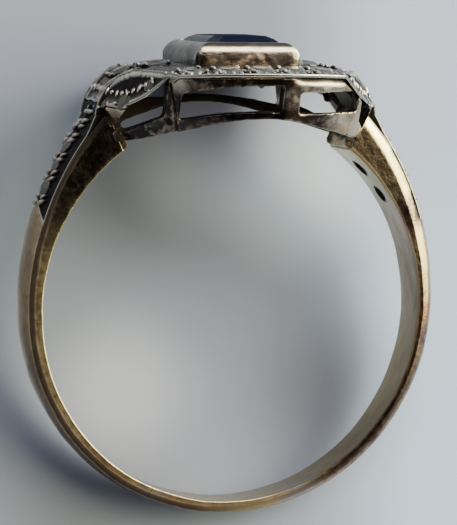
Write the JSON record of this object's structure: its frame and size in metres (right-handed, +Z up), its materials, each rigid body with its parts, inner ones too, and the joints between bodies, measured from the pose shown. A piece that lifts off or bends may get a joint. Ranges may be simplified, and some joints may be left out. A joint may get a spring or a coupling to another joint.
{
  "type": "sapphire ring",
  "caption": "Worn yellow gold ring with a pierced gallery, a lobed diamond-set plate in white metal and a raised bezel holding a dark step-cut sapphire.",
  "frame": {"origin": "centre of the finger hole, halfway between the shank's side faces", "axes": "+X across the finger, +Y from the hole towards the stone, +Z up from the surface it lies on"},
  "size_m": [0.0186, 0.0208, 0.0105],
  "materials": {
    "gold": "worn, softly polished",
    "white_metal": "worn, greyish",
    "sapphire": "polished",
    "diamond": "polished"
  },
  "bodies": {
    "root": {"shank_and_gallery": "gold", "plate_and_bezel": "white_metal", "sapphire": "sapphire", "diamond_shoulder_1": "diamond", "diamond_shoulder_2": "diamond", "diamond_shoulder_3": "diamond", "diamond_shoulder_4": "diamond", "diamond_shoulder_5": "diamond", "diamond_shoulder_6": "diamond", "diamond_shoulder_7": "diamond", "diamond_shoulder_8": "diamond", "diamond_end_1": "diamond", "diamond_end_2": "diamond", "diamond_end_3": "diamond", "diamond_end_4": "diamond", "diamond_lobe_1": "diamond", "diamond_lobe_2": "diamond", "diamond_lobe_3": "diamond", "diamond_lobe_4": "diamond", "diamond_lobe_5": "diamond", "diamond_lobe_6": "diamond", "diamond_lobe_7": "diamond", "diamond_lobe_8": "diamond", "diamond_lobe_9": "diamond", "diamond_lobe_10": "diamond", "diamond_corner_1": "diamond", "diamond_corner_2": "diamond", "diamond_corner_3": "diamond", "diamond_corner_4": "diamond", "diamond_corner_5": "diamond", "diamond_corner_6": "diamond", "diamond_corner_7": "diamond", "diamond_corner_8": "diamond", "diamond_corner_9": "diamond", "diamond_corner_10": "diamond", "diamond_corner_11": "diamond", "diamond_corner_12": "diamond"}
  },
  "joints": []
}
